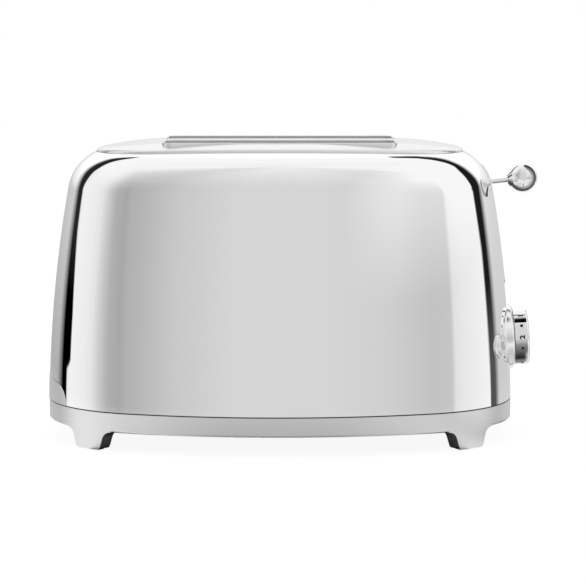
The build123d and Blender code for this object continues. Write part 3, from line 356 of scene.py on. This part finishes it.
def add_shell():
    mesh = bmesh.new()
    mesh.from_mesh(frame["nodes"]["body_shell"].data)
    bmesh.ops.remove_doubles(mesh, verts=mesh.verts, dist=merge_distance)
    bmesh.ops.subdivide_edges(mesh, edges=mesh.edges, cuts=shell_cuts, use_grid_fill=True)
    bmesh.ops.triangulate(mesh, faces=[face for face in mesh.faces if len(face.verts) > 4])
    data = bpy.data.meshes.new("shell")
    mesh.to_mesh(data)
    mesh.free()
    points = np.array([vertex.co for vertex in data.vertices], float)
    places, normals, away = on_shell(points)
    outside = away < near_surface
    points[outside] = places[outside]
    data.vertices.foreach_set("co", points.ravel())
    data.update()
    loop_normals = np.zeros((len(data.loops), 3))
    for face in data.polygons:
        face.use_smooth = True
        corners = list(face.vertices)
        match = abs(face.normal @ Vector(normals[corners].mean(0)))
        smooth = outside[corners].all() and match > least_match
        for loop, corner in zip(face.loop_indices, corners):
            loop_normals[loop] = normals[corner] if smooth else face.normal
    data.normals_split_custom_set(loop_normals)
    shell = add_piece("shell_skin", data, "shell_chrome", "housing")
    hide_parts("body_shell")


add_shell()

joints = {joint["name"]: joint for joint in frame["joints"]}


def add_spring():
    """The return spring, a copy of its CAD mesh that rides on the housing."""
    data = frame["nodes"]["return_spring"].data.copy()
    spring = add_piece("return_coil", data, "wire_steel", "housing")
    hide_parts("return_spring")
    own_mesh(spring)


add_spring()

# Printed marks: numbers and dots round the dial, signs on the buttons. Angles are in degrees.

print_depth = 0.06 * MM
dial_radius = 19.3 * MM
dial_print_place = 8.3 * MM
number_height = 3.6 * MM
number_breadth = 1.2
number_weight = 0.05
number_smoothness = 6
dot_radius = 1.08 * MM
dot_corners = 28
first_number_angle = 49.8
number_step = 45.9
last_number = 6


def frame_on(origin, normal):
    """A matrix whose z is normal and whose y is as near to straight up as it can be."""
    z = Vector(normal).normalized()
    x = Vector((0, 0, 1)).cross(z).normalized()
    y = z.cross(x)
    turn = Matrix((x, y, z)).transposed().to_4x4()
    return Matrix.Translation(Vector(origin)) @ turn


dial_frame = frame_on(joints["dial_turn"]["pos_m"], joints["dial_turn"]["axis"])


def number_outline(text, height):
    """A number as a flat mesh, centred, its top towards +Y."""
    curve = bpy.data.curves.new("number", "FONT")
    curve.body = text
    curve.align_x = "CENTER"
    curve.offset = number_weight
    curve.resolution_u = number_smoothness
    obj = bpy.data.objects.new("number", curve)
    bpy.context.scene.collection.objects.link(obj)
    bpy.context.view_layer.update()
    data = bpy.data.meshes.new_from_object(obj)
    bpy.data.objects.remove(obj)
    points = np.array([vertex.co for vertex in data.vertices])
    low, high = points.min(0), points.max(0)
    points = (points - (low + high) / 2) * (height / (high[1] - low[1]))
    points[:, 0] *= number_breadth
    data.vertices.foreach_set("co", points.ravel())
    return data


def dot_outline():
    data = bpy.data.meshes.new("dot")
    mesh = bmesh.new()
    bmesh.ops.create_circle(mesh, cap_ends=True, segments=dot_corners, radius=dot_radius)
    mesh.to_mesh(data)
    mesh.free()
    return data


def wrapped_on_dial(data, angle):
    """Bends a flat mark round the dial's drum at an angle up from its near side, its top to the wall."""
    mesh = bmesh.new()
    mesh.from_mesh(data)
    bmesh.ops.triangulate(mesh, faces=mesh.faces)
    bmesh.ops.subdivide_edges(mesh, edges=mesh.edges, cuts=1)
    region = bmesh.ops.extrude_face_region(mesh, geom=mesh.faces[:])
    raised = {item for item in region["geom"] if isinstance(item, bmesh.types.BMVert)}
    for vertex in mesh.verts:
        across, along = vertex.co.x, vertex.co.y
        radius = dial_radius + (print_depth if vertex in raised else -print_depth)
        turn = math.radians(angle) + across / dial_radius
        # The dial's frame has +X to the far side of the toaster and +Y up.
        local = Vector((-radius * math.cos(turn), radius * math.sin(turn), dial_print_place - along))
        vertex.co = dial_frame @ local
    bmesh.ops.recalc_face_normals(mesh, faces=mesh.faces)
    mesh.to_mesh(data)
    mesh.free()
    return data


for number in range(1, last_number + 1):
    angle = first_number_angle - (number - 1) * number_step
    shape = wrapped_on_dial(number_outline(str(number), number_height), angle)
    add_piece(f"dial_number_{number}", shape, "print_black", "dial")
    if number < last_number:
        shape = wrapped_on_dial(dot_outline(), angle - number_step / 2)
        add_piece(f"dial_dot_{number}", shape, "print_black", "dial")


def strokes(lines, width):
    """Flat strokes of one width along lines of points, raised a little, as one mesh."""
    mesh = bmesh.new()
    for line in lines:
        points = [Vector((*point, 0)) for point in line]
        rows = []
        for index, point in enumerate(points):
            before, after = points[max(index - 1, 0)], points[min(index + 1, len(points) - 1)]
            direction = (after - before).normalized()
            aside = Vector((-direction.y, direction.x, 0)) * width / 2
            rows.append([mesh.verts.new(point + aside), mesh.verts.new(point - aside)])
        for first, second in zip(rows[:-1], rows[1:]):
            mesh.faces.new((first[0], first[1], second[1], second[0]))
    region = bmesh.ops.extrude_face_region(mesh, geom=mesh.faces[:])
    for item in region["geom"]:
        if isinstance(item, bmesh.types.BMVert):
            item.co.z += 2 * print_depth
    bmesh.ops.translate(mesh, verts=mesh.verts, vec=(0, 0, -print_depth))
    bmesh.ops.recalc_face_normals(mesh, faces=mesh.faces)
    data = bpy.data.meshes.new("strokes")
    mesh.to_mesh(data)
    mesh.free()
    return data


cap_depth = 0.19 * MM
sign_width = 0.55 * MM
wave_half = 2.6 * MM
wave_swing = 0.55 * MM
wave_gap = 1.9 * MM
wave_steps = 16
arms = 6
first_arm_angle = 30
arm_length = 3.1 * MM
twig_length = 0.9 * MM
twig_place = 0.62
twig_angle = 50


def wave_lines():
    """Three rising heat waves."""
    lines = []
    for column in (-1, 0, 1):
        line = []
        for step in range(wave_steps + 1):
            share = step / wave_steps
            height = -wave_half + 2 * wave_half * share
            line.append((column * wave_gap + wave_swing * math.sin(2 * math.pi * share), height))
        lines.append(line)
    return lines


def snowflake_lines():
    """Six arms, each with a pair of short twigs."""
    lines = []
    for arm in range(arms):
        heading = math.radians(first_arm_angle + 360 / arms * arm)
        out = Vector((math.cos(heading), math.sin(heading)))
        lines.append([(0, 0), tuple(out * arm_length)])
        root = out * arm_length * twig_place
        for side in (-1, 1):
            lean = heading + side * math.radians(twig_angle)
            twig = root + Vector((math.cos(lean), math.sin(lean))) * twig_length
            lines.append([tuple(root), tuple(twig)])
    return lines


def button_frame(node, joint):
    """A matrix on the middle of a button's face, from its own vertices and its joint's direction."""
    outward = -Vector(joint["axis"])
    corners = [vertex.co for vertex in frame["nodes"][node].data.vertices]
    top = max(corner.dot(outward) for corner in corners)
    cap = [corner for corner in corners if corner.dot(outward) > top - cap_depth]
    centre = sum(cap, Vector()) / len(cap)
    return frame_on(centre, outward)


for body, lines in (("reheat", wave_lines()), ("defrost", snowflake_lines())):
    sign = strokes(lines, sign_width)
    sign.transform(button_frame(f"{body}_button", joints[f"{body}_press"]))
    add_piece(f"{body}_sign", sign, "print_black", body)

# Studio: floor, hidden cards, world and lamp

floor_half_width = 4.0
floor_tone = 0.8
# As the camera sees it, the floor is a glow with a little of its shaded colour added.
floor_glow = 0.92
floor_shade = 0.1


def make_floor():
    """A plain floor, which bright metal doesn't mirror: it mirrors the world's own floor instead."""
    mesh = bmesh.new()
    bmesh.ops.create_grid(mesh, x_segments=1, y_segments=1, size=floor_half_width)
    data = bpy.data.meshes.new("floor")
    mesh.to_mesh(data)
    mesh.free()
    floor = bpy.data.objects.new("floor", data)
    bpy.context.scene.collection.objects.link(floor)
    material = bpy.data.materials.new("floor")
    material.use_nodes = True
    shader = Shader(material.node_tree)
    plain = shader.add("ShaderNodeBsdfDiffuse")
    plain.inputs["Color"].default_value = grey(floor_tone)
    shaded = shader.add("ShaderNodeBsdfDiffuse")
    shaded.inputs["Color"].default_value = grey(floor_shade)
    glow = shader.add("ShaderNodeEmission")
    glow.inputs["Strength"].default_value = floor_glow
    both = shader.add("ShaderNodeAddShader")
    shader.put(both.inputs[0], shaded.outputs[0])
    shader.put(both.inputs[1], glow.outputs[0])
    seen = shader.add("ShaderNodeLightPath").outputs["Is Camera Ray"]
    mix = shader.add("ShaderNodeMixShader")
    shader.put(mix.inputs[0], seen)
    shader.put(mix.inputs[1], plain.outputs[0])
    shader.put(mix.inputs[2], both.outputs[0])
    out = shader.add("ShaderNodeOutputMaterial")
    shader.put(out.inputs[0], mix.outputs[0])
    dress(floor, material)
    floor.visible_glossy = False


def add_card(name, pairs, levels, soft=0.0, fade=None):
    """A card through pairs of places along it, which only bright metal mirrors, and only on one side.

    levels are pairs of a y and its brightness there. A share of its width at each side is soft, and it may
    fade to nothing between two places along y.
    """
    data = bpy.data.meshes.new(name)
    mesh = bmesh.new()
    across = mesh.loops.layers.uv.new("across")
    for first, second in zip(pairs[:-1], pairs[1:]):
        face = mesh.faces.new([mesh.verts.new(place) for place in (first[0], first[1], second[1], second[0])])
        for loop, share in zip(face.loops, (0, 1, 1, 0)):
            loop[across].uv = (share, 0)
    mesh.to_mesh(data)
    mesh.free()
    card = bpy.data.objects.new(name, data)
    bpy.context.scene.collection.objects.link(card)
    material = bpy.data.materials.new(name)
    material.use_nodes = True
    shader = Shader(material.node_tree)
    place = shader.add("ShaderNodeTexCoord")
    y = shader.split(place.outputs["Object"])[1]
    tone = levels[0][1]
    for (start, low), (end, high) in zip(levels[:-1], levels[1:]):
        tone = shader.math("ADD", tone, shader.spread(y, start, end, 0.0, high - low))
    front = shader.add("ShaderNodeEmission")
    shader.put(front.inputs["Strength"], tone)
    hidden = shader.add("ShaderNodeNewGeometry").outputs["Backfacing"]
    if soft:
        along_width = shader.split(place.outputs["UV"])[0]
        aside = shader.math("ABSOLUTE", shader.math("SUBTRACT", along_width, 0.5))
        hidden = shader.math("MAXIMUM", hidden, shader.share(aside, 0.5 - soft, 0.5))
    if fade:
        hidden = shader.math("MAXIMUM", hidden, shader.share(y, *fade))
    mix = shader.add("ShaderNodeMixShader")
    shader.put(mix.inputs[0], hidden)
    shader.put(mix.inputs[1], front.outputs[0])
    shader.put(mix.inputs[2], shader.add("ShaderNodeBsdfTransparent").outputs[0])
    out = shader.add("ShaderNodeOutputMaterial")
    shader.put(out.inputs[0], mix.outputs[0])
    dress(card, material)
    card.visible_camera = False
    card.visible_diffuse = False
    card.visible_shadow = False


def across_rows(rows):
    """Pairs of places from rows of y, z, lower x and higher x."""
    return [((low, y, z), (high, y, z)) for y, z, low, high in rows]


def ring_rows(rows):
    """Pairs of places round the lever's ball, from rows of degrees up from the right and two depths."""
    view = frame_on(ball_centre, ball_view)
    pairs = []
    for angle, near, far in rows:
        pair = []
        for depth in (near, far):
            reach = math.sqrt(ring_radius**2 - depth**2)
            turn = math.radians(angle)
            pair.append(view @ Vector((reach * math.cos(turn), reach * math.sin(turn), -depth)))
        pairs.append(tuple(pair))
    return pairs


ball_low, ball_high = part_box("lever_knob")
ball_radius = (ball_high.y - ball_low.y) / 2
ball_centre = (ball_high.x - ball_radius, 0.0, ball_high.z - ball_radius)
ball_view = (-0.09, -0.99, 0.073)
ring_radius = 12.5 * MM
# A crescent from above the ball round its right side and its underside to its left, for its dark rim
ball_ring = (
    (85, -6.0 * MM, -3.0 * MM),
    (65, -8.5 * MM, -1.8 * MM),
    (45, -9.2 * MM, -1.4 * MM),
    (20, -9.5 * MM, -1.4 * MM),
    (0, -9.5 * MM, -1.4 * MM),
    (-20, -9.5 * MM, -1.4 * MM),
    (-40, -9.4 * MM, -1.4 * MM),
    (-60, -9.0 * MM, -1.0 * MM),
    (-80, -8.6 * MM, -0.4 * MM),
    (-100, -8.2 * MM, -0.2 * MM),
    (-120, -7.6 * MM, -0.2 * MM),
    (-140, -6.4 * MM, -0.2 * MM),
    (-160, -4.8 * MM, -0.8 * MM),
)
ball_ring_tones = ((-9.5 * MM, 0.68), (-7.5 * MM, 0.3), (-5.2 * MM, 0.07))

card_height = 0.5 * MM
# Painted shadow: a dark card under the body, which the feet and the skirt's lower edge mirror as the floor's shade
under_body_x = (middle_x - 0.8 * half_length, middle_x + 0.8 * half_length)
shadow_under_body = across_rows((
    (-0.85 * half_depth, card_height, *under_body_x),
    (0.85 * half_depth, card_height, *under_body_x),
))
shadow_under_body_tones = ((0.0, 0.004),)

# Painted shadow: a grey card on the floor before the body, darker towards the body, for the front of the skirt to
# mirror
before_body_x = (middle_x - 140 * MM, middle_x + 140 * MM)
shadow_before_body = across_rows((
    (-215 * MM, card_height, *before_body_x),
    (-90 * MM, card_height, *before_body_x),
))
shadow_before_body_tones = ((-215 * MM, 0.5), (-90 * MM, 0.3))

# Painted shadow: a grey card on the floor below the dial, darkest near the toaster, for the lower half of its drum
# to mirror
dial_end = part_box("dial_knob")[1].x
shadow_below_dial = across_rows((
    (-250 * MM, card_height, dial_end - 5 * MM, dial_end + 45 * MM),
    (-136 * MM, card_height, dial_end - 12 * MM, dial_end + 22 * MM),
    (-19 * MM, card_height, dial_end - 14 * MM, dial_end + 7 * MM),
    (45 * MM, card_height, dial_end - 14 * MM, dial_end + 7 * MM),
))
shadow_below_dial_tones = (
    (-250 * MM, 0.46),
    (-195 * MM, 0.41),
    (-136 * MM, 0.33),
    (-59 * MM, 0.16),
    (-19 * MM, 0.03),
    (-6 * MM, 0.03),
    (14 * MM, 0.25),
)

# A dark strip over the dial's near side, for the black band on its drum
over_dial_x = (dial_end - 11 * MM, dial_end + 1 * MM)
over_dial = across_rows((
    (-13 * MM, 99.9 * MM, *over_dial_x),
    (-25.9 * MM, 93.5 * MM, *over_dial_x),
))
over_dial_tones = ((0.0, 0.0),)

# Grey below the lever's stem
stem_card_z = ball_centre[2] - 7.2 * MM
stem_card_x = (ball_centre[0] - 19 * MM, ball_centre[0] - 9 * MM)
below_stem = across_rows((
    (-6 * MM, stem_card_z, *stem_card_x),
    (5 * MM, stem_card_z, *stem_card_x),
))
below_stem_tones = ((0.0, 0.25),)

make_floor()
# Painted shadow under the body
add_card("shadow_under_body", shadow_under_body, shadow_under_body_tones)
# Painted shadow before the body
add_card("shadow_before_body", shadow_before_body, shadow_before_body_tones, soft=0.35, fade=(-165 * MM, -215 * MM))
# Painted shadow below the dial
add_card("shadow_below_dial", shadow_below_dial, shadow_below_dial_tones, soft=0.15, fade=(-150 * MM, -250 * MM))
add_card("below_stem", below_stem, below_stem_tones)
add_card("over_dial", over_dial, over_dial_tones, fade=(-19 * MM, -14 * MM))
add_card("ball_ring", ring_rows(ball_ring), ball_ring_tones)

# What bright metal mirrors: a pale tent round the toaster, with a grey front and a dark gap at each side.
# Each entry is an angle in degrees to the right of the camera's side, and the tent's brightness there.
tent = (
    (-180, 0.72),
    (-128, 0.72),
    (-108, 0.98),
    (-88, 0.93),
    (-79, 0.86),
    (-70, 0.66),
    (-60, 0.48),
    (-48, 0.43),
    (-38, 0.51),
    (-28, 0.64),
    (-12, 0.74),
    (12, 0.74),
    (28, 0.69),
    (40, 0.6),
    (60, 0.62),
    (64, 0.84),
    (76, 0.9),
    (108, 0.99),
    (128, 0.72),
    (180, 0.72),
)
tent_top = 1.03
left_dim = 0.86
back_high = 1.15
back_foot = 0.72
back_low_left = 0.65
back_low_right = 0.85
floor_front = 0.95
floor_left = 1.3
floor_right = 1.05
floor_low_right = 0.68
floor_in_line = 0.5
line_x = 0.093
# All that isn't a mirror image has this even light.
soft_light = 0.85
# Where each change starts and ends, as the x, y or z of a direction. A third and fourth number are its level
# at the start and at the end.
overhead_y = (-0.8, 0.3)
overhead_z = (0.35, 0.7)
low_rise = (0.07, 0.25, 0.0, 0.21)
high_rise = (0.25, 0.75, 0.0, 0.1)
rise_x = (0.28, 0.52)
back_y = (0.47, 0.64)
back_z = (0.0, 0.34)
low_back_z = (-0.17, 0.0)
left_dim_z = (0.04, 0.12)
floor_z = (-0.28, -0.12)
floor_side_x = (0.4, 0.7)
floor_right_z = (-0.55, -0.3)
line_reach = (0.08, 0.14)
line_z = (-0.4, -0.3)
# The dark gap between the tent and the white sheet behind it. For directions by their x: the y of its sharp
# edge towards the camera, of the end of its dark, and of the end of its soft edge towards the sheet.
gap_edges = (
    (-1.0, 0.36, 0.44, 0.56),
    (-0.94, 0.38, 0.47, 0.58),
    (-0.905, 0.42, 0.49, 0.6),
    (-0.885, 0.425, 0.505, 0.62),
    (-0.845, 0.425, 0.53, 0.64),
    (-0.79, 0.437, 0.56, 0.66),
    (-0.72, 0.455, 0.585, 0.69),
    (-0.65, 0.461, 0.6, 0.72),
    (-0.56, 0.487, 0.605, 0.695),
    (-0.48, 0.507, 0.605, 0.69),
    (-0.4, 0.52, 0.62, 0.69),
    (-0.34, 0.53, 0.605, 0.67),
    (-0.28, 0.54, 0.59, 0.625),
    (-0.2, 0.6, 0.58, 0.6),
    (0.12, 0.74, 0.6, 0.64),
    (0.16, 0.61, 0.61, 0.66),
    (0.2, 0.58, 0.585, 0.65),
    (0.24, 0.55, 0.575, 0.67),
    (0.31, 0.543, 0.575, 0.668),
    (0.41, 0.522, 0.555, 0.63),
    (0.5, 0.505, 0.53, 0.59),
    (0.6, 0.48, 0.505, 0.58),
    (0.72, 0.4, 0.48, 0.58),
    (0.8, 0.37, 0.5, 0.6),
    (0.84, 0.36, 0.5, 0.58),
    (0.87, 0.35, 0.475, 0.56),
    (0.9, 0.347, 0.45, 0.54),
    (0.93, 0.35, 0.43, 0.5),
    (0.942, 0.338, 0.42, 0.49),
    (0.95, 0.315, 0.41, 0.48),
    (1.0, 0.28, 0.38, 0.45),
)
gap_sharpness = 0.02
gap_lean_left = 0.055
gap_lean_left_z = (-0.03, 0.06)
gap_lean_left_end_z = (-0.1, -0.085)
gap_lean_right = 0.06
gap_lean_right_z = (0.05, 0.2)
gap_shade_left = (-0.02, 0.05, 0.0, 0.02)
gap_shade_right = (-0.09, 0.0, 0.09, 0.012)


def make_world():
    world = bpy.data.worlds.new("studio")
    bpy.context.scene.world = world
    world.use_nodes = True
    shader = Shader(world.node_tree)
    x, y, z = shader.split(shader.add("ShaderNodeTexCoord").outputs["Generated"])
    right = shader.math("GREATER_THAN", x, 0.0)

    # In front of the toaster the tent grows brighter overhead, and to the right it does so sooner.
    round_angle = shader.math("ARCTAN2", x, shader.math("MULTIPLY", y, -1.0))
    round_tones = [((angle + 180) / 360, tone, tone, tone) for angle, tone in tent]
    around = shader.ramp(shader.share(round_angle, -math.pi, math.pi), round_tones)
    overhead = shader.math("MULTIPLY", shader.share(y, *overhead_y), shader.share(z, *overhead_z))
    front = shader.blend(overhead, around, tent_top)
    rise = shader.math("ADD", shader.spread(z, *low_rise), shader.spread(z, *high_rise))
    rise = shader.math("MULTIPLY", rise, shader.share(x, *rise_x))
    front = shader.math("MINIMUM", shader.math("ADD", front, rise), tent_top)

    # Behind the toaster the tent is white above and greyer low down.
    low_back = shader.blend(right, back_low_left, back_low_right)
    back = shader.spread(z, *back_z, back_foot, back_high)
    back = shader.math("MULTIPLY", back, shader.spread(z, *low_back_z, low_back, 1.0))
    dimmed = shader.blend(right, shader.spread(z, *left_dim_z, left_dim, 1.0), 1.0)
    back = shader.math("MULTIPLY", back, dimmed)
    level = shader.blend(shader.share(y, *back_y), front, back)

    # Below the level of the table the floor is bright, most of all at the sides.
    floor_rightward = shader.spread(z, *floor_right_z, floor_low_right, floor_right)
    sides = shader.blend(right, floor_left, floor_rightward)
    floor = shader.spread(shader.math("ABSOLUTE", x), *floor_side_x, floor_front, sides)
    # In line with the dial it is greyer where it is far off.
    off_line = shader.math("ABSOLUTE", shader.math("SUBTRACT", x, line_x))
    in_line = shader.spread(off_line, *line_reach, 1.0, 0.0)
    in_line = shader.math("MULTIPLY", in_line, shader.share(z, *line_z))
    floor = shader.blend(in_line, floor, floor_in_line)
    level = shader.blend(shader.spread(z, *floor_z, 1.0, 0.0), level, floor)

    # The near edge of the dark gap lies further forward on the left near the level of the table, and on the
    # right higher up.
    edges = [((edge_x + 1) / 2, *numbers) for edge_x, *numbers in gap_edges]
    colour = shader.add("ShaderNodeSeparateColor")
    shader.put(colour.inputs[0], shader.ramp(shader.share(x, -1.0, 1.0), edges))
    near, dark_end, far = colour.outputs
    lean_left = shader.spread(z, *gap_lean_left_z, gap_lean_left, 0.0)
    lean_left = shader.math("MULTIPLY", lean_left, shader.share(z, *gap_lean_left_end_z))
    lean_right = shader.spread(z, *gap_lean_right_z, 0.0, gap_lean_right)
    lean = shader.blend(right, lean_left, lean_right)
    before = shader.math("SUBTRACT", shader.math("SUBTRACT", near, lean), y)
    outside = shader.math("MAXIMUM", shader.share(before, 0.0, gap_sharpness), shader.share(y, dark_end, far))
    shade = shader.blend(right, shader.spread(z, *gap_shade_left), shader.spread(z, *gap_shade_right))
    mirrored = shader.blend(outside, shade, level)

    path = shader.add("ShaderNodeLightPath")
    tone = shader.blend(path.outputs["Is Glossy Ray"], soft_light, mirrored)
    tone = shader.blend(path.outputs["Is Camera Ray"], tone, 1.0)
    background = shader.add("ShaderNodeBackground")
    shader.put(background.inputs["Color"], tone)
    out = shader.add("ShaderNodeOutputWorld")
    shader.put(out.inputs[0], background.outputs[0])


make_world()

lamp_place = (0.0, -0.3, 1.3)
lamp_aim = (0.0, 0.0, 0.1)
lamp_width = 1.2
lamp_watts = 4.0


def add_lamp():
    lamp = bpy.data.lights.new("top_lamp", "AREA")
    lamp.shape = "SQUARE"
    lamp.size = lamp_width
    lamp.energy = lamp_watts
    obj = bpy.data.objects.new("top_lamp", lamp)
    obj.location = lamp_place
    obj.rotation_mode = "QUATERNION"
    obj.rotation_quaternion = (Vector(lamp_aim) - Vector(lamp_place)).to_track_quat("-Z", "Y")
    obj.visible_glossy = False
    bpy.context.scene.collection.objects.link(obj)


add_lamp()

# Camera: a little above the toaster, looking down at its broad front

camera_distance = 1.70
camera_height = 0.2958
camera_side = 8.7 * MM
camera_pitch = 6.755
picture_width = 586
focal_pixels = 2545

camera_data = bpy.data.cameras.new("camera")
camera_data.lens = focal_pixels * camera_data.sensor_width / picture_width
camera = bpy.data.objects.new("camera", camera_data)
camera.location = (middle_x + camera_side, -camera_distance, camera_height)
camera.rotation_euler = (math.radians(90 - camera_pitch), 0, 0)
bpy.context.scene.collection.objects.link(camera)
bpy.context.scene.camera = camera

bpy.context.scene.view_settings.view_transform = "Standard"
